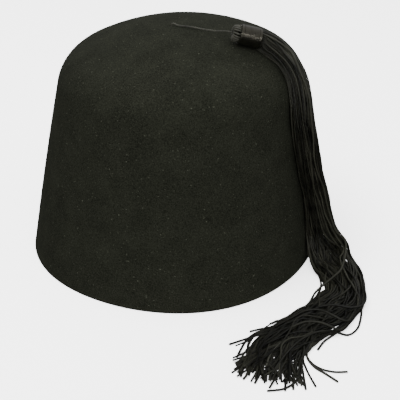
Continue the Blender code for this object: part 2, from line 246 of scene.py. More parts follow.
# frames carried along a path without turning round it
def carriedFrames(path, firstSide):
    tangents = np.gradient(path, axis=0)
    tangents /= np.linalg.norm(tangents, axis=1)[:, None]
    sides = np.empty_like(path)
    side = np.array(firstSide, float)
    for i, tangent in enumerate(tangents):
        side = side - side.dot(tangent) * tangent
        side /= np.linalg.norm(side)
        sides[i] = side
    return tangents, sides, np.cross(tangents, sides)


# many round cords as one mesh: each has its path, its radius at each point and rounded cut ends;
# the UV map holds the length along in metres, and the cord's number with the share of the way round
def cordMesh(name, paths, radii, sides, material):
    ring = np.arange(sides) * 2.0 * math.pi / sides
    verts, faces, uvs, start = [], [], [], 0
    for number, (path, radius) in enumerate(zip(paths, radii)):
        path = np.asarray(path)
        # a ring of flat sides is drawn a little wide, so that it covers what the round cord does
        widening = math.sqrt(2.0 * math.pi / (sides * math.sin(2.0 * math.pi / sides)))
        radius = np.broadcast_to(radius, len(path)) * widening
        ahead = (path[1] - path[0]) / np.linalg.norm(path[1] - path[0])
        guide = (0.3, 0.2, 1.0) if abs(ahead[2]) < 0.9 else (1.0, 0.2, 0.1)
        tangents, side, other = carriedFrames(path, guide)
        ends = [path[0] - tangents[0] * radius[0] * 0.4, path[-1] + tangents[-1] * radius[-1] * 0.4]
        path = np.vstack([ends[0], path, ends[1]])
        radius = np.concatenate([[radius[0] * 0.6], radius, [radius[-1] * 0.6]])
        side = np.vstack([side[0], side, side[-1]])
        other = np.vstack([other[0], other, other[-1]])
        around = side[:, None, :] * np.cos(ring)[None, :, None]
        around = around + other[:, None, :] * np.sin(ring)[None, :, None]
        verts.append((path[:, None, :] + around * radius[:, None, None]).reshape(-1, 3))
        count = len(path)
        along = np.concatenate([[0.0], np.cumsum(np.linalg.norm(np.diff(path, axis=0), axis=1))])
        for i in range(count - 1):
            row, nextRow = start + i * sides, start + (i + 1) * sides
            for j in range(sides):
                k = (j + 1) % sides
                faces.append((row + j, row + k, nextRow + k, nextRow + j))
                low, high = number + j / sides, number + (j + 1) / sides
                uvs.extend([(along[i], low), (along[i], high), (along[i + 1], high), (along[i + 1], low)])
        faces.append(tuple(range(start + sides - 1, start - 1, -1)))
        uvs.extend([(along[0], number)] * sides)
        last = start + (count - 1) * sides
        faces.append(tuple(range(last, last + sides)))
        uvs.extend([(along[-1], number)] * sides)
        start += count * sides
    mesh = bpy.data.meshes.new(name)
    mesh.from_pydata(np.vstack(verts).tolist(), [], faces)
    layer = mesh.uv_layers.new(name="lengthAndTurn")
    layer.data.foreach_set("uv", np.array(uvs, np.float32).ravel())
    mesh.materials.append(material)
    mesh.shade_smooth()
    piece = bpy.data.objects.new(name, mesh)
    bpy.context.scene.collection.objects.link(piece)
    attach(piece, "root")
    return piece


# the tassel's binding lies on the crown's top and points the way that the tassel falls; its thread is
# drawn coarser than the real one, so that its turns show
binding = {
    "radius": 0.0063,
    "wall": 0.001,
    "length": 0.0139,
    "azimuth": -30.3,
    "distance": 0.0428,
    "heading": 33.0,
    "gap": 0.0003,
    "thread": 0.00105,
    "pitch": 0.0009,
    "turnSteps": 30,
    "sway": 0.12,
    "rise": 0.05,
    "tuckSteps": 12,
    "tuckDepth": 0.0008,
    "sides": 7,
    "seed": 5,
}


def bindingAxis():
    lift = binding["radius"] + binding["gap"]
    centre, normal = crownPoint(binding["azimuth"], binding["distance"], lift)
    ahead, _ = crownPoint(binding["azimuth"], binding["distance"] + 0.001, lift)
    outward = (ahead - centre).normalized()
    side = normal.cross(outward).normalized()
    heading = math.radians(binding["heading"])
    return centre, (outward * math.cos(heading) + side * math.sin(heading)).normalized(), normal


bindingCentre, bindingWay, bindingNormal = bindingAxis()
bindingSide = bindingNormal.cross(bindingWay).normalized()
bindingUp = bindingWay.cross(bindingSide).normalized()


# point round the binding's axis: distance from it, angle from its top, and place along it
def roundBinding(distance, angle, along):
    across = bindingUp * math.cos(angle) + bindingSide * math.sin(angle)
    return bindingCentre + bindingWay * along + across * distance


# top cord: up through its hole, over the crown and into the tassel's head
topCord = {
    "diameter": 0.001,
    "bow": 0.0026,
    "headLength": 0.0032,
    "spacing": 0.0004,
    "plies": 2,
    "plyRadius": 0.28,
    "plyOffset": 0.22,
    "turnLength": 0.0026,
    "sides": 8,
}


def cordPoints():
    radius = topCord["diameter"] / 2
    hole, _ = crownPoint(crown["holeAzimuth"], crown["holeDistance"])
    back = binding["length"] / 2 + binding["gap"]
    socket = bindingCentre - bindingWay * (back + topCord["headLength"] * 0.2)
    before = bindingCentre - bindingWay * (back + topCord["headLength"] * 2.0)
    ahead = (before - hole).normalized()
    aside = Vector((-ahead.y, ahead.x, 0.0)).normalized()
    bend = 3.0 * topCord["diameter"]
    points = [
        hole + Vector((0.0, 0.0, -crown["feltThickness"] * 0.8)),
        hole + Vector((0.0, 0.0, radius)),
        hole + Vector((ahead.x * bend / 2, ahead.y * bend / 2, bend / 2)),
    ]
    first = hole + Vector((ahead.x * 1.6 * bend, ahead.y * 1.6 * bend, 0.0))
    for share, rise in ((0.0, 0.0), (0.25, 0.04), (0.5, 0.2), (0.75, 0.6)):
        place = first.lerp(before, share) + aside * topCord["bow"] * math.sin(math.pi * share)
        leanX = crown["topLean"] * place.z / crown["height"]
        azimuth = math.degrees(math.atan2(place.y, place.x - leanX))
        face, _ = crownPoint(azimuth, math.hypot(place.x - leanX, place.y), radius + binding["gap"])
        place.z = face.z + (before.z - face.z) * rise
        points.append(place)
    return points + [before, socket]


# the cord runs on inside the tassel as its core, to a cut end under the tail
def makeTopCord(material, core):
    _, path = smoothRoute([*cordPoints(), *core], topCord["spacing"])
    travel = np.concatenate([[0.0], np.cumsum(np.linalg.norm(np.diff(path, axis=0), axis=1))])
    tangents, side, other = carriedFrames(path, (0.2, 1.0, 0.1))
    ply, apart = topCord["diameter"] * topCord["plyRadius"], topCord["diameter"] * topCord["plyOffset"]
    plies = []
    for k in range(topCord["plies"]):
        angle = travel / topCord["turnLength"] * 2.0 * math.pi + k * 2.0 * math.pi / topCord["plies"]
        plies.append(path + (side * np.cos(angle)[:, None] + other * np.sin(angle)[:, None]) * apart)
    piece = cordMesh("top_cord", plies, [ply] * len(plies), topCord["sides"], material)
    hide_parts("tassel_cord")
    return piece, path, float(travel[-1])


# thread wound round the tassel's neck in close, slightly uneven turns, with both ends tucked in
def makeBinding(material):
    rng = np.random.default_rng(binding["seed"])
    thread = binding["thread"] / 2
    half = binding["length"] / 2 - thread
    turns = 2.0 * half / binding["pitch"]
    steps = int(turns * binding["turnSteps"])
    angle = np.linspace(0.0, turns * 2.0 * math.pi, steps + 1)
    along = np.linspace(-half, half, steps + 1)
    places = np.arange(0, angle[-1] + 2.0, 2.0)
    slow = np.interp(angle, places, rng.normal(0.0, 1.0, int(angle[-1] / 2.0) + 2))
    along = np.clip(along + slow * binding["pitch"] * binding["sway"], -half, half)
    distance = binding["radius"] - thread + slow[::-1] * binding["pitch"] * binding["rise"]
    distance = np.minimum(distance, binding["radius"] - thread)
    tucked = binding["tuckSteps"]
    distance[:tucked] -= np.linspace(binding["tuckDepth"], 0.0, tucked)
    distance[-tucked:] -= np.linspace(0.0, binding["tuckDepth"], tucked)
    path = np.array([roundBinding(d, a, s) for d, a, s in zip(distance, angle, along)])
    piece = cordMesh("tassel_binding_thread", [path], [thread], binding["sides"], material)
    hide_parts("tassel_binding")
    return piece


# head of the tassel: the strands' folded ends, gathered round the cord
head = {
    "loops": 17,
    "radius": 0.0053,
    "length": 0.0032,
    "cordRadius": 0.0005,
    "innerRadii": (0.0024, 0.0013),
    "turnSpread": 0.22,
    "spacing": 0.0004,
    "sides": 8,
    "seed": 11,
}


def makeHead(material):
    rng = np.random.default_rng(head["seed"])
    back = -binding["length"] / 2 - binding["gap"]
    reach, deep, thick = head["radius"], head["length"], head["cordRadius"]
    paths, radii = [], []
    for k in range(head["loops"]):
        inner = head["innerRadii"][k % 2]
        turn = 2.0 * math.pi * (k + rng.uniform(-head["turnSpread"], head["turnSpread"])) / head["loops"]
        swell = rng.uniform(0.94, 1.0)
        outline = [
            (reach - thick - 0.0006, back + 0.0016),
            (reach - thick - 0.0002, back),
            ((reach - thick) * swell, back - deep * 0.35),
            ((reach - thick * 1.6) * swell, back - deep * 0.66),
            (reach * 0.66, back - deep + thick),
            (reach * 0.44, back - (deep - thick) * swell),
            (inner, back - deep * 0.62),
            (inner - 0.0005, back - deep * 0.1),
        ]
        points = [roundBinding(d, turn + i * 0.035, s) for i, (d, s) in enumerate(outline)]
        _, path = smoothRoute(points, head["spacing"])
        paths.append(path)
        radii.append(thick * rng.uniform(0.9, 1.08))
    return cordMesh("tassel_head_loops", paths, radii, head["sides"], material)


# tassel: the bundle's route and sizes are the frame's; its strands are worked out below
tassel = {
    "length": 0.312,
    "bundle": 0.0135,
    "tail": 0.041,
    "restHeight": 0.0001,
    "strands": 144,
    "strandDiameter": 0.00094,
    "wallDrawn": 0.80,  # shares of the diameter: the cords are squeezed on the wall and fuller on the tail
    "tailDrawn": 1.1,
    "strayDrawn": 1.35,  # single cords are drawn thick, because the bright floor eats their edges
    "neckCords": 12,  # cords laid over the bundle at its neck, and over the tail
    "tailCords": 20,
    "topSpan": 78.0,
    "topPlace": 0.7,
    "topWander": 0.5,
    "bridgeRounds": 8,
    "neckSink": 0.0006,
    "wallFill": 0.0011,
    "straightEnd": 7,
    "spacing": 0.002,
    "groups": 15,
    "wallWander": 0.20,
    "tailWander": 0.62,
    "settleRounds": 60,
    "settle": 0.00005,
    "pushApart": 0.45,
    "cling": 0.02,
    "clingReach": 1.6,
    "fan": 0.00013,
    "endNarrowing": 0.42,
    "endSpread": 0.009,
    "sides": 6,
    "perPiece": 72,
    "layingSeed": 3,
    "cuttingSeed": 8,
}

# down the crown: azimuth, share of the way to the rim, and the bundle's sizes outward and along
wallRows = [
    (-24.5, 0.252, 0.88, 0.92),
    (-24.5, 0.288, 0.84, 0.86),
    (-25.5, 0.312, 0.79, 0.80),
    (-27.0, 0.335, 0.78, 0.80),
    (-28.5, 0.355, 0.80, 0.81),
    (-30.0, 0.382, 0.81, 0.81),
    (-32.0, 0.425, 0.85, 0.86),
    (-32.5, 0.487, 0.92, 0.94),
    (-31.0, 0.583, 1.00, 1.00),
    (-29.0, 0.660, 1.02, 1.00),
    (-26.0, 0.750, 1.12, 1.00),
    (-24.5, 0.835, 1.29, 0.97),
    (-23.5, 0.900, 1.62, 0.90),
]

# along the surface: azimuth, share of the tail's distance past the rim, and the same two sizes
tailRows = [
    (-25.4, 0.39, 2.32, 0.80),
    (-28.8, 0.58, 2.02, 0.70),
    (-34.6, 0.81, 1.88, 0.64),
    (-38.8, 0.92, 1.92, 0.62),
    (-44.0, 0.93, 2.10, 0.60),
    (-49.3, 0.96, 2.20, 0.58),
    (-55.5, 0.94, 2.06, 0.55),
    (-61.6, 1.02, 2.22, 0.50),
    (-67.2, 1.14, 2.60, 0.44),
    (-70.5, 1.35, 2.75, 0.38),
    (-72.6, 1.59, 2.85, 0.34),
    (-74.3, 1.83, 2.95, 0.32),
]

# the tail's cut end: place across it, and how much shorter the cords are there
endRows = [
    (-1.0, 0.024),
    (-0.6, 0.012),
    (-0.3, 0.005),
    (0.2, 0.006),
    (0.6, 0.004),
    (0.85, 0.009),
    (1.0, 0.014),
]

# strands that leave the tail: place across it, then where they show in the photo and their height in mm
strayRows = [
    (0.9, [(341, 269, 12), (333, 277, 10), (323, 285, 8), (315, 293, 5), (309, 303, 2.5),
           (298, 311.5, 1.2), (284, 318.5, 0.8), (270, 324, 0.6)]),
    (0.95, [(364, 288, 5), (366, 298, 5), (361, 306, 7), (350, 307.5, 9), (336, 305, 9), (322, 306, 8),
            (307, 314, 7), (290, 328, 6), (272, 341, 4), (253, 353, 2), (240, 364, 0.6)]),
    (0.9, [(352, 285, 8), (359, 297, 6), (361.3, 308, 2), (360.6, 319, 0.6), (356.5, 330, 0.5),
           (348, 335.4, 0.5), (339, 333, 1.5), (328, 331, 5), (314, 333, 7), (299, 341, 6),
           (285, 355, 5), (275, 369, 3), (269, 380, 0.6)]),
    (0.85, [(351, 317, 5), (343, 327, 2.5), (333.5, 335, 0.7), (324.5, 341.5, 0.5), (317.7, 350, 0.5)]),
    (0.93, [(348, 321, 5), (341, 319.5, 8), (331, 314.3, 9), (319, 309.6, 8.5), (306, 310.5, 7.5),
            (292, 317.5, 5),
           (277, 325.5, 3), (262, 333, 1)]),
    (0.88, [(340, 330, 4), (334, 328, 7), (321, 322.5, 8), (306, 321.5, 7.5), (292, 327, 6), (275, 338, 4),
           (259, 348, 2), (248, 356, 0.6)]),
    (-1.0, [(313, 265, 3), (318.5, 275, 1.5), (321, 284, 0.8), (319, 292, 0.8), (313, 300.5, 0.8),
            (305.5, 308.5, 1.2), (291, 317, 1.2)]),
    (0.98, [(311, 345, 3), (306, 352, 1), (311, 362.7, 0.5), (321.7, 369.4, 0.5), (335, 372.3, 0.5),
            (347.2, 372, 0.5)]),
    (0.92, [(310, 347, 2.5), (306.8, 356, 0.8), (313.7, 366.7, 0.5), (326, 374.4, 0.5),
            (337.8, 382.1, 0.5)]),
    (0.86, [(306, 350, 3), (303, 358, 1), (307, 371, 0.5), (315.7, 386.8, 0.5)]),
    (0.8, [(304, 350, 3), (301.7, 361, 1), (303.4, 375, 0.5), (305.7, 389.5, 0.5)]),
    (0.6, [(296, 365, 2), (293.6, 377, 0.8), (293.2, 389.5, 0.5)]),
    (0.35, [(287, 365, 2), (285.3, 375, 0.8), (285.2, 390.8, 0.5)]),
    (0.65, [(302, 366, 2), (297, 380, 0.8), (285, 388.8, 0.5), (267.5, 391.2, 0.5)]),
    (0.1, [(281, 368, 2), (275.6, 377.5, 0.8), (269.5, 388, 0.5)]),
    (-0.2, [(264, 365, 2), (260.2, 373.5, 0.8), (254.8, 383.4, 0.5)]),
    (-0.4, [(257, 360, 2), (250.8, 369.4, 0.8), (243.4, 379.4, 0.5)]),
    (-0.5, [(254, 358, 1), (246.8, 366, 0.6), (238.7, 373.4, 0.5)]),
    (-0.6, [(258, 350, 1), (248.8, 356, 0.6), (238, 366, 0.5)]),
    (-0.7, [(257, 349, 2), (247.4, 355.3, 1.5), (235.4, 363.4, 0.5)]),
    (-0.85, [(263, 333, 1), (248.8, 338, 0.7), (229.4, 344.6, 0.5)]),
    (-0.9, [(258, 332, 1.5), (246.8, 340, 1), (236.7, 357.3, 0.5)]),
    (-0.95, [(272, 326.5, 0.8), (258.8, 329.5, 0.6), (250.1, 331.8, 0.5)]),
    (-0.8, [(280, 328, 2), (264.2, 331.9, 1.5), (252.8, 335.5, 0.8), (248.2, 344, 0.6), (248.2, 352.5, 0.6),
            (252.5, 361, 0.8), (260, 363.7, 1.2), (269, 361, 2)]),
]


# the bundle's middle from the binding to past the tail's end, with its frame and sizes
def bundleRoute():
    neck = 2.0 * (binding["radius"] - binding["wall"] - binding["gap"])
    points, outs, sizes = [], [], []
    for past in (-0.3 * binding["length"], 3.0 * binding["gap"], 0.2 * binding["length"]):
        points.append(bindingCentre + bindingWay * (binding["length"] / 2 + past))
        outs.append(bindingNormal)
        sizes.append((neck, neck))
    for azimuth, down, outward, along in wallRows:
        lift = outward * tassel["bundle"] / 2 + binding["gap"]
        point, out = crownPoint(azimuth, down * wholeTravel, lift)
        points.append(point)
        outs.append(out)
        sizes.append((outward * tassel["bundle"], along * tassel["bundle"]))
    landing = len(points)
    for azimuth, past, outward, along in tailRows:
        rim, _ = crownPoint(azimuth, wholeTravel)
        angle = math.radians(azimuth)
        point = rim + Vector((math.cos(angle), math.sin(angle), 0.0)) * past * tassel["tail"]
        point.z = along * tassel["bundle"] / 2 + tassel["restHeight"]
        points.append(point)
        sizes.append((outward * tassel["bundle"], along * tassel["bundle"]))
    points.append(points[-1] + (points[-1] - points[-2]).normalized() * tassel["length"] / 4)
    sizes.append(sizes[-1])
    for i in range(landing, len(points)):
        ahead = points[min(i + 1, len(points) - 1)] - points[max(i - 1, landing)]
        outs.append(Vector((-ahead.y, ahead.x, 0.0)).normalized())
    columns = [(*out, *size) for out, size in zip(outs, sizes)]
    travel, rows = smoothRoute(points, tassel["spacing"], columns)
    middle = rows[:, :3]
    tangent = np.gradient(middle, axis=0)
    tangent /= np.linalg.norm(tangent, axis=1)[:, None]
    out = rows[:, 3:6] - (rows[:, 3:6] * tangent).sum(1)[:, None] * tangent
    out /= np.linalg.norm(out, axis=1)[:, None]
    landed = travel[int(np.argmin(np.linalg.norm(middle - np.array(points[landing]), axis=1)))]
    longest = tassel["length"] - head["length"] - binding["length"] * 0.7
    keep = travel <= longest + tassel["spacing"]
    kept = [a[keep] for a in (travel, middle, out, np.cross(tangent, out), rows[:, 6], rows[:, 7])]
    return kept + [landed]


# slow random waves along the tassel, a row for each strand or group
def waves(rng, count, travel):
    drift = np.zeros((count, len(travel)))
    for low, high, size in ((0.09, 0.20, 0.8), (0.045, 0.08, 0.45), (0.022, 0.035, 0.12)):
        length = rng.uniform(low, high, (count, 1))
        drift += size * np.sin(2.0 * math.pi * (travel / length + rng.uniform(0.0, 1.0, (count, 1))))
    return drift


# even places on a disc, from its middle out
def sunflower(count):
    order = np.arange(count) + 0.5
    turn = order * math.pi * (3.0 - math.sqrt(5.0))
    return np.column_stack([np.cos(turn), np.sin(turn)]) * np.sqrt(order / count)[:, None]


def easedStep(values, start, end):
    share = np.clip((values - start) / (end - start), 0.0, 1.0)
    return share * share * (3.0 - 2.0 * share)


# places the strands across the bundle at every station: spread evenly, set wandering singly and in
# groups, then pushed apart and let sink until they lie beside and on each other, as limp cords do
def strandOffsets(travel, width, height, landed):
    rng = np.random.default_rng(tassel["layingSeed"])
    count, stations = tassel["strands"], len(travel)
    disc = sunflower(count)
    locks = sunflower(tassel["groups"])
    group = np.argmin(((disc[:, None] - locks[None]) ** 2).sum(2), axis=1)
    onFloor = easedStep(travel, landed - 0.02, landed + 0.02)
    ending = easedStep(travel, travel[-1] - 0.06, travel[-1])
    loose = np.clip((travel - 0.02) / 0.03, 0.0, 1.0)
    wander = loose * (tassel["wallWander"] + (tassel["tailWander"] - tassel["wallWander"]) * onFloor)
    offsets = np.empty((count, stations, 2))
    for axis, size in ((0, 1.0), (1, 0.6)):
        drift = waves(rng, tassel["groups"], travel)[group] * 0.7 + waves(rng, count, travel) * 0.6
        offsets[:, :, axis] = disc[:, axis, None] + drift * wander * size
    # cords squeeze where the bundle is narrow
    area = width * height
    radius = np.minimum(tassel["strandDiameter"] / 2, np.sqrt(0.86 * area / count) / 2)
    sink = tassel["neckSink"] * (1.0 - onFloor)
    halfA = width / 2 - radius + tassel["wallFill"] * (1.0 - onFloor)
    halfB = height / 2 - radius - sink
    outerA = (width / 2 - radius) * (1.0 - tassel["endNarrowing"] * ending)
    reach = np.maximum(1.0, np.hypot(offsets[..., 0], offsets[..., 1]))
    offsets = offsets / reach[..., None] * np.stack([halfA, halfB], axis=-1)[None]
    for settling in range(tassel["settleRounds"]):
        push = np.zeros_like(offsets)
        for i in range(count):
            gap = offsets[i][None] - offsets
            distance = np.linalg.norm(gap, axis=2)
            distance[i] = 1.0
            lack = 2.0 * radius[None] - distance
            near = lack > -tassel["clingReach"] * radius[None]
            strength = np.where(lack > 0.0, lack * tassel["pushApart"], lack * near * tassel["cling"])
            push[i] = (gap * (strength / np.maximum(distance, 1e-6))[..., None]).sum(0)
        offsets += push
        bend = offsets[:, :-2] + offsets[:, 2:] - 2.0 * offsets[:, 1:-1]
        offsets[:, 1:-1] += 0.04 * bend
        offsets[:, 2:-2] -= 0.05 * (bend[:, :-2] + bend[:, 2:] - 2.0 * bend[:, 1:-1])
        offsets[:, :, 1] -= tassel["settle"] * onFloor
        offsets[:, :, 0] += tassel["fan"] * ending * (offsets[:, :, 0] + outerA) / (halfA + outerA)
        side = np.where(offsets[..., 0] < 0.0, outerA[None], halfA[None])
        flat = (offsets[:, :, 1] < 0.0) & (onFloor > 0.5)[None]
        share = np.hypot(offsets[..., 0] / side, np.where(flat, 0.0, offsets[..., 1] / halfB))
        over = np.maximum(1.0, share)
        offsets[..., 0] /= over
        offsets[..., 1] = np.where(flat, np.maximum(offsets[..., 1], -halfB[None]), offsets[..., 1] / over)
    drawnShare = tassel["wallDrawn"] + (tassel["tailDrawn"] - tassel["wallDrawn"]) * onFloor
    drawn = np.tile(radius * drawnShare, (count, 1))
    drift = (0.3 + 0.7 * onFloor)[None]
    full = tassel["strandDiameter"] / 2
    for cords, free in ((tassel["neckCords"], easedStep(travel, 0.001, 0.014)),
                        (tassel["tailCords"], easedStep(travel, landed - 0.05, landed - 0.02))):
        row = np.sin(np.radians(np.linspace(-tassel["topSpan"], tassel["topSpan"], cords)))
        chosen = []
        for x in row:
            high = tassel["topPlace"] * math.sqrt(1.0 - x * x)
            chosen.append(int(np.argmin(np.hypot(disc[:, 0] - x, disc[:, 1] - high))))
        layCordsOnTop(rng, offsets, row, radius, chosen, free, drift, halfA, outerA)
        drawn[chosen] += (full - drawn[chosen]) * free
    return disc, offsets, drawn


# takes chosen cords out of the bundle and lays them over it, wandering across and bridging its hollows
def layCordsOnTop(rng, offsets, row, radius, chosen, free, drift, halfA, outerA):
    count, stations = offsets.shape[:2]
    wanders = waves(rng, len(chosen), np.arange(stations) * tassel["spacing"]) * drift
    under = [i for i in range(count) if i not in chosen]
    for cord, x, wander in zip(chosen, row, wanders):
        share = np.clip(x + free * tassel["topWander"] * wander, -0.98, 0.98)
        across = share * np.where(share < 0.0, outerA, halfA)
        apart = np.abs(offsets[under, :, 0] - across)
        touching = 1.9 * radius[None]
        rest = offsets[under, :, 1] + np.sqrt(np.maximum(touching ** 2 - apart ** 2, 0.0))
        level = np.where(apart < touching, rest, offsets[under, :, 1].min(0)[None]).max(0)
        for bridging in range(tassel["bridgeRounds"]):
            level[1:-1] = np.maximum(level[1:-1], (level[:-2] + level[2:]) / 2)
        offsets[cord, :, 0] += (across - offsets[cord, :, 0]) * free
        offsets[cord, :, 1] += (level - offsets[cord, :, 1]) * free
        under.append(cord)


# keeps points this far out from the crown's outer face
def clearOfCrown(points, gap):
    z = np.clip(points[:, 2], 0.0, crown["height"])
    leanX = crown["topLean"] * z / crown["height"]
    x = (points[:, 0] - leanX) * meanRadius / crown["baseHalfLength"]
    y = points[:, 1] * meanRadius / crown["baseHalfWidth"]
    azimuth, radius = np.arctan2(y, x), np.hypot(x, y)
    fade = np.maximum(0.0, 1.0 - z / wallTop)
    radius = radius / (1.0 + crown["baseWave"] * fade
                       * np.cos(4.0 * (azimuth - math.radians(crown["baseWaveAzimuth"]))) / meanRadius)
    section = fineSection
    step = np.diff(section, axis=0)
    step /= np.linalg.norm(step, axis=1)[:, None]
    normal = np.column_stack([-step[:, 1], step[:, 0]])
    middle = (section[1:] + section[:-1]) / 2
    place = np.column_stack([radius, points[:, 2]])
    nearest = np.argmin(((place[:, None, :] - middle[None]) ** 2).sum(2), axis=1)
    out = ((place - middle[nearest]) * normal[nearest]).sum(1)
    lack = np.maximum(0.0, gap - out)
    moved = points.copy()
    moved[:, 0] += lack * normal[nearest][:, 0] * np.cos(azimuth)
    moved[:, 1] += lack * normal[nearest][:, 0] * np.sin(azimuth)
    moved[:, 2] += lack * normal[nearest][:, 1]
    return moved


# a cord's cut end lies straight, because the twist keeps it stiff
def straightEnded(path):
    count = tassel["straightEnd"]
    path = path.copy()
    way = path[-count] - path[-count - 4]
    way *= tassel["spacing"] / np.linalg.norm(way)
    path[-count:] = path[-count] + way * np.arange(count)[:, None]
    return path


# every strand's path and radii; the ones that show singly follow their own rows
def strandPaths(route):
    rng = np.random.default_rng(tassel["cuttingSeed"])
    travel, middle, out, along, width, height, landed = route
    disc, offsets, radius = strandOffsets(travel, width, height, landed)
    places = middle[None] + out[None] * offsets[..., :1] + along[None] * offsets[..., 1:]
    cut = np.interp(offsets[:, -1, 0] / (width[-1] / 2), *np.transpose(endRows))
    short = cut + tassel["endSpread"] * rng.uniform(0.0, 1.0, len(places)) ** 1.5
    reaches = len(travel) - 1 - (short / tassel["spacing"]).astype(int)
    paths = [straightEnded(places[i][:reaches[i] + 1]) for i in range(len(places))]
    radii = [radius[i][:reaches[i] + 1] for i in range(len(places))]
    taken = set()
    for across, shown in strayRows:
        points = np.array([tuple(atPixel(px, py, mm / 1000.0)) for px, py, mm in shown])
        fit = np.hypot(disc[:, 0] - across, disc[:, 1] - 0.15)
        strand = next(int(i) for i in np.argsort(fit) if int(i) not in taken)
        taken.add(strand)
        apart = np.linalg.norm(places[strand] - points[0], axis=1)
        leave = int(np.argmin(apart))
        leave = max(leave - int((0.010 + 2.0 * apart[leave]) / tassel["spacing"]), 10)
        joined = np.vstack([places[strand][:leave:6], places[strand][leave:leave + 1], points])
        _, path = smoothRoute(joined, tassel["spacing"])
        paths[strand] = path
        along = np.arange(len(path)) * tassel["spacing"]
        stray = tassel["strandDiameter"] * tassel["strayDrawn"] / 2
        radii[strand] = np.interp(along, travel[:leave], radius[strand][:leave], right=stray)
    for i, path in enumerate(paths):
        path = clearOfCrown(path, tassel["strandDiameter"] / 2 + 0.0001)
        path[:, 2] = np.maximum(path[:, 2], radii[i] + tassel["restHeight"])
        paths[i] = path
    print("strands laid:", len(paths), "reaching the floor after", round(float(landed) * 1000.0), "mm")
    return paths, radii


def makeTassel(material, route):
    paths, radii = strandPaths(route)
    pieces = []
    for number, first in enumerate(range(0, len(paths), tassel["perPiece"])):
        last = first + tassel["perPiece"]
        name = "tassel_strands_%s" % "abcdefgh"[number]
        piece = cordMesh(name, paths[first:last], radii[first:last], tassel["sides"], material)
        pieces.append(piece)
    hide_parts("tassel")
    return pieces


# felt crown: one moulded body, open at the rim, with its cut edge eased and a dimple at the cord
def makeCrown(material):
    outer = crownSection(0.0, 56, 22, 10)
    # the middle of the top has finer rings, so that the dimple shows
    ring = fineSection[:, 0] < crown["capRadius"]
    near = np.linspace(0.0, float(fineSection[ring][-1, 0]), crown["capSteps"])[:-1]
    cap = np.column_stack([near, np.interp(near, fineSection[ring][:, 0], fineSection[ring][:, 1])])
    outer = np.vstack([cap, outer[outer[:, 0] > near[-1] + 0.001]])
    inner = crownSection(crown["feltThickness"], 30, 14, 16)[::-1]
    ease = crown["edgeRound"]
    outer[-1] = (outer[-1][0], ease)
    inner[0] = (inner[0][0], ease)
    edge = []
    for k in range(1, 6):
        angle = math.pi / 2 * k / 5
        edge.append((outer[-1][0] - ease * (1.0 - math.cos(angle)), ease * (1.0 - math.sin(angle))))
    for k in range(0, 5):
        angle = math.pi / 2 * (1.0 - k / 5)
        edge.append((inner[0][0] + ease * (1.0 - math.cos(angle)), ease * (1.0 - math.sin(angle))))
    section = np.vstack([outer[1:], edge, inner[:-1]])
    turns = crown["turns"]
    azimuth = np.arange(turns) * 2.0 * math.pi / turns
    verts = crownShape(section[:, :1], section[:, 1:], azimuth[None]).reshape(-1, 3)
    hole = np.array(crownPoint(crown["holeAzimuth"], crown["holeDistance"])[0])
    away = np.linalg.norm(verts[:, :2] - hole[:2], axis=1)
    onTop = np.arange(len(verts)) < len(outer) * turns
    dip = crown["dimpleDepth"] * np.exp(-(away / crown["dimpleRadius"] * 1.6) ** 2)
    verts[:, 2] -= np.where(onTop & (away < crown["dimpleReach"]), dip, 0.0)
    count = len(section)
    top, under = len(verts), len(verts) + 1
    poles = [crownShape(0.0, outer[0][1], 0.0), crownShape(0.0, inner[-1][1], 0.0)]
    verts = np.vstack([verts, poles])
    faces = []
    for j in range(turns):
        k = (j + 1) % turns
        faces.append((top, j, k))
        faces.append((under, (count - 1) * turns + k, (count - 1) * turns + j))
        for i in range(count - 1):
            faces.append((i * turns + j, (i + 1) * turns + j, (i + 1) * turns + k, i * turns + k))
    mesh = bpy.data.meshes.new("crown_felt")
    mesh.from_pydata(verts.tolist(), [], faces)
    mesh.materials.append(material)
    mesh.shade_smooth()
    piece = bpy.data.objects.new("crown_felt", mesh)
    bpy.context.scene.collection.objects.link(piece)
    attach(piece, "root")
    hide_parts("crown")
    return piece


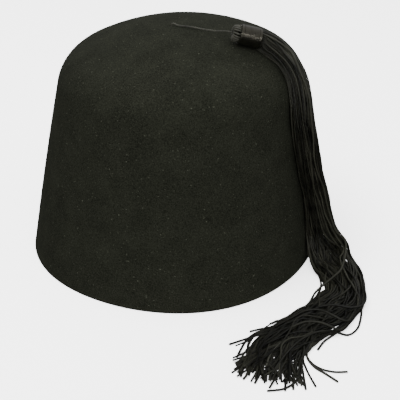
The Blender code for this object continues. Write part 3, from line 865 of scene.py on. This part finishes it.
# fulled wool felt: matt, finely mottled by its matted fibres and softly clouded, with a few pale specks
# of lint; real fibres are too fine to show, so they are drawn 0.75 mm apart
def woolFelt():
    look = {
        "dark": "#0a0c07",
        "light": "#383a30",
        "fibreMm": 0.75,
        "cloudMm": 14.0,
        "cloudShare": 0.2,
        "toneRange": (0.38, 0.82),
        "speck": "#54564a",
        "speckMm": 1.3,
        "speckRange": (0.70, 0.80),
        "nap": 0.7,
        "napDepth": 0.0003,
        "roughness": 0.95,
        "gloss": 0.1,
    }
    material, tree, shader = newMaterial("fulled_wool_felt")
    place = addNode(tree, "ShaderNodeTexCoord").outputs["Object"]
    cloud = addNode(tree, "ShaderNodeTexNoise",
                    {"Scale": 1000.0 / look["cloudMm"], "Detail": 3.0}, {"Vector": place})
    fibre = addNode(tree, "ShaderNodeTexNoise",
                    {"Scale": 1000.0 / look["fibreMm"], "Detail": 4.0, "Roughness": 0.75}, {"Vector": place})
    speck = addNode(tree, "ShaderNodeTexNoise",
                    {"Scale": 1000.0 / look["speckMm"], "Detail": 1.0}, {"Vector": place})
    spread = addNode(tree, "ShaderNodeMath", {"operation": "MULTIPLY_ADD", 1: look["cloudShare"]},
                     {0: cloud.outputs["Fac"], 2: fibre.outputs["Fac"]})
    tone = addNode(tree, "ShaderNodeMapRange",
                   {"From Min": look["toneRange"][0], "From Max": look["toneRange"][1]},
                   {"Value": spread.outputs["Value"]})
    base = addNode(tree, "ShaderNodeMix",
                   {"data_type": "RGBA", 6: linearColour(look["dark"]), 7: linearColour(look["light"])},
                   {0: tone.outputs["Result"]})
    dots = addNode(tree, "ShaderNodeMapRange",
                   {"From Min": look["speckRange"][0], "From Max": look["speckRange"][1]},
                   {"Value": speck.outputs["Fac"]})
    colour = addNode(tree, "ShaderNodeMix", {"data_type": "RGBA", 7: linearColour(look["speck"])},
                     {0: dots.outputs["Result"], 6: base.outputs[2]})
    bump = addNode(tree, "ShaderNodeBump", {"Strength": look["nap"], "Distance": look["napDepth"]},
                   {"Height": fibre.outputs["Fac"]})
    tree.links.new(colour.outputs[2], shader.inputs["Base Color"])
    tree.links.new(bump.outputs["Normal"], shader.inputs["Normal"])
    shader.inputs["Roughness"].default_value = look["roughness"]
    shader.inputs["Specular IOR Level"].default_value = look["gloss"]
    return material


# cord of twisted rayon: soft sheen along each cord, with the plies' slant as fine ridges, and each
# cord a little lighter or darker than the next; its loose ends can be darkened as painted shade
def twistedRayon(name, look):
    material, tree, shader = newMaterial(name)
    uv = addNode(tree, "ShaderNodeUVMap", {"uv_map": "lengthAndTurn"})
    split = addNode(tree, "ShaderNodeSeparateXYZ", None, {"Vector": uv.outputs["UV"]})
    turn = addNode(tree, "ShaderNodeMath", {"operation": "MULTIPLY", 1: look["plies"] * 2.0 * math.pi},
                   {0: split.outputs["Y"]})
    slant = addNode(tree, "ShaderNodeMath",
                    {"operation": "MULTIPLY_ADD", 1: 2.0 * math.pi * 1000.0 / look["layMm"]},
                    {0: split.outputs["X"], 2: turn.outputs["Value"]})
    ridge = addNode(tree, "ShaderNodeMath", {"operation": "SINE"}, {0: slant.outputs["Value"]})
    number = addNode(tree, "ShaderNodeMath", {"operation": "FLOOR"}, {0: split.outputs["Y"]})
    ownTone = addNode(tree, "ShaderNodeTexWhiteNoise", {"noise_dimensions": "1D"},
                      {"W": number.outputs["Value"]})
    place = addNode(tree, "ShaderNodeTexCoord").outputs["Object"]
    patch = addNode(tree, "ShaderNodeTexNoise",
                    {"Scale": 1000.0 / look["patchMm"], "Detail": 2.0}, {"Vector": place})
    tone = addNode(tree, "ShaderNodeMath", {"operation": "MULTIPLY_ADD", 1: look["ownTone"]},
                   {0: ownTone.outputs["Value"], 2: patch.outputs["Fac"]})
    share = addNode(tree, "ShaderNodeMapRange", {"From Min": 0.3, "From Max": 0.7 + look["ownTone"]},
                    {"Value": tone.outputs["Value"]})
    # painted shade: the loose ends are darkened over this stretch of each cord, for the shade that the dense
    # tail holds between its cords
    first, last = look["shadeStretchMm"]
    fade = addNode(tree, "ShaderNodeMapRange",
                   {"From Min": first / 1000.0, "From Max": last / 1000.0, "To Min": 1.0,
                    "To Max": look["endShadeLevel"]}, {"Value": split.outputs["X"]})
    shadedShare = addNode(tree, "ShaderNodeMath", {"operation": "MULTIPLY"},
                    {0: share.outputs["Result"], 1: fade.outputs["Result"]})
    colour = addNode(tree, "ShaderNodeMix",
                     {"data_type": "RGBA", 6: linearColour(look["dark"]), 7: linearColour(look["light"])},
                     {0: shadedShare.outputs["Value"]})
    bump = addNode(tree, "ShaderNodeBump", {"Strength": look["relief"], "Distance": look["ridgeDepth"]},
                   {"Height": ridge.outputs["Value"]})
    tree.links.new(colour.outputs[2], shader.inputs["Base Color"])
    tree.links.new(bump.outputs["Normal"], shader.inputs["Normal"])
    shader.inputs["Roughness"].default_value = look["roughness"]
    shader.inputs["Specular IOR Level"].default_value = look["gloss"]
    shader.inputs["Specular Tint"].default_value = linearColour(look["tint"])
    return material


# tassel cord: dark and soft, with thin lights along the cords that lie on top, and painted shade darkening
# the loose ends of the tail
cordLook = {"dark": "#020202", "light": "#4a4a3f", "plies": 2, "layMm": 2.6, "patchMm": 6.0,
            "relief": 0.5, "ridgeDepth": 0.00008, "shadeStretchMm": (160.0, 220.0), "endShadeLevel": 0.5,
            "ownTone": 1.6, "roughness": 0.42, "gloss": 0.2, "tint": "#ffffff"}
# binding thread, glazed: smooth and shiny, with a warm light on each turn
threadLook = {"dark": "#0a0a08", "light": "#171711", "plies": 3, "layMm": 1.4, "patchMm": 3.0,
              "relief": 0.2, "ridgeDepth": 0.00008, "shadeStretchMm": (0.0, 1.0), "endShadeLevel": 1.0,
              "ownTone": 0.0, "roughness": 0.24, "gloss": 0.5, "tint": "#fff8e4"}
# hanging cord and the tassel's head: the same rayon with painted light, a paler colour for where it stands
# clear in the light
litCordLook = {"dark": "#2c2c26", "light": "#4a4a40", "plies": 2, "layMm": 2.6, "patchMm": 6.0,
               "relief": 0.5, "ridgeDepth": 0.00008, "shadeStretchMm": (0.0, 1.0), "endShadeLevel": 1.0,
               "ownTone": 0.0, "roughness": 0.45, "gloss": 0.4, "tint": "#ffffff"}
felt = woolFelt()
strandCord = twistedRayon("twisted_rayon_cord", cordLook)
bindingThread = twistedRayon("glazed_binding_thread", threadLook)
# the hanging cord's material is the tassel rayon made paler as painted light
paintedLitCord = twistedRayon("twisted_rayon_painted_light", litCordLook)
print("materials made")

tasselRoute = bundleRoute()
coreStations = tasselRoute[1][2:-4:5]
cordPiece, cordPath, cordLength = makeTopCord(paintedLitCord, coreStations)
print("top cord laid,", round(cordLength * 1000.0), "mm with its run inside the tassel")
bindingPiece = makeBinding(bindingThread)
headPiece = makeHead(paintedLitCord)
strandPieces = makeTassel(strandCord, tasselRoute)
print("tassel made")
makeCrown(felt)
print("crown made")

# pale floor that turns up into a backdrop, with a lamp of its own, and soft studio light on the hat
stage = {
    "flatRadius": 2.5,
    "bendRadius": 1.5,
    "wallHeight": 3.5,
    "floorColour": "#f4f4f4",
    "floorGlow": 1.7,
    "floorLampPlace": (-0.3, -0.2, 1.8),
    "floorLampSize": 1.6,
    "floorLampPower": 105.0,
    "skyStrength": 1.28,
    "groundStrength": 0.04,
    "skyBand": (-0.05, 0.6),
    "keyPlace": (-0.6, -1.2, 0.85),
    "keySize": 1.0,
    "keyPower": 6.0,
    "glintPlace": (0.36, -1.0, 0.22),
    "glintSize": 0.12,
    "glintPower": 2.0,
    "bandPlace": (0.05, -0.95, 0.68),
    "bandSize": 0.1,
    "bandPower": 6.0,
}


def makeBackdrop():
    material, tree, shader = newMaterial("pale_paper_backdrop")
    shader.inputs["Base Color"].default_value = linearColour(stage["floorColour"])
    shader.inputs["Roughness"].default_value = 0.95
    shader.inputs["Specular IOR Level"].default_value = 0.0
    shader.inputs["Emission Color"].default_value = linearColour(stage["floorColour"])
    shader.inputs["Emission Strength"].default_value = stage["floorGlow"]
    flat, bend = stage["flatRadius"], stage["bendRadius"]
    outline = [(0.0, 0.0), (flat / 2, 0.0)]
    for k in range(13):
        angle = math.pi / 2 * k / 12
        outline.append((flat + bend * math.sin(angle), bend * (1.0 - math.cos(angle))))
    outline.append((flat + bend, stage["wallHeight"]))
    mesh = bpy.data.meshes.new("backdrop")
    rim = [(x, 0.0, z) for x, z in outline]
    mesh.from_pydata(rim, [(i, i + 1) for i in range(len(rim) - 1)], [])
    backdrop = bpy.data.objects.new("backdrop", mesh)
    bpy.context.scene.collection.objects.link(backdrop)
    turned = backdrop.modifiers.new("turned", "SCREW")
    turned.steps = 96
    turned.render_steps = 96
    turned.use_smooth_shade = True
    turned.use_merge_vertices = True
    turned.merge_threshold = 0.0001
    turned.use_normal_calculate = True
    mesh.materials.append(material)
    # the backdrop's own brightness stays off the hat, and the sky's light passes it
    backdrop.visible_diffuse = False
    backdrop.visible_glossy = False
    backdrop.visible_transmission = False
    backdrop.visible_shadow = False
    return backdrop


def makeLamp(name, place, size, power):
    light = bpy.data.lights.new(name, "AREA")
    light.shape = "DISK"
    light.size = size
    light.energy = power
    lamp = bpy.data.objects.new(name, light)
    lamp.location = place
    lamp.rotation_mode = "QUATERNION"
    lamp.rotation_quaternion = (Vector((0.0, 0.0, 0.06)) - lamp.location).to_track_quat("-Z", "Y")
    lamp.visible_camera = False
    bpy.context.scene.collection.objects.link(lamp)
    return lamp


def makeSky():
    world = bpy.data.worlds.new("softSky")
    world.use_nodes = True
    tree = world.node_tree
    way = addNode(tree, "ShaderNodeTexCoord").outputs["Generated"]
    split = addNode(tree, "ShaderNodeSeparateXYZ", None, {"Vector": way})
    low, high = stage["skyBand"]
    strength = addNode(tree, "ShaderNodeMapRange",
                       {"From Min": low, "From Max": high, "To Min": stage["groundStrength"],
                        "To Max": stage["skyStrength"]}, {"Value": split.outputs["Z"]})
    tree.links.new(strength.outputs["Result"], tree.nodes["Background"].inputs["Strength"])
    tree.nodes["Background"].inputs["Color"].default_value = linearColour("#ffffff")
    bpy.context.scene.world = world


# the floor's lamp lights the floor alone, and the small front lamp only the binding
def makeStage():
    backdrop = makeBackdrop()
    makeSky()
    makeLamp("keyLight", stage["keyPlace"], stage["keySize"], stage["keyPower"])
    makeLamp("glintLight", stage["glintPlace"], stage["glintSize"], stage["glintPower"])
    floorLamp = makeLamp("floorLight", stage["floorLampPlace"], stage["floorLampSize"],
                         stage["floorLampPower"])
    floorOnly = bpy.data.collections.new("floorOnly")
    floorOnly.objects.link(backdrop)
    floorLamp.light_linking.receiver_collection = floorOnly
    bandLamp = makeLamp("bandLight", stage["bandPlace"], stage["bandSize"], stage["bandPower"])
    bindingOnly = bpy.data.collections.new("bindingOnly")
    bindingOnly.objects.link(bindingPiece)
    bandLamp.light_linking.receiver_collection = bindingOnly


makeStage()
print("stage lit")
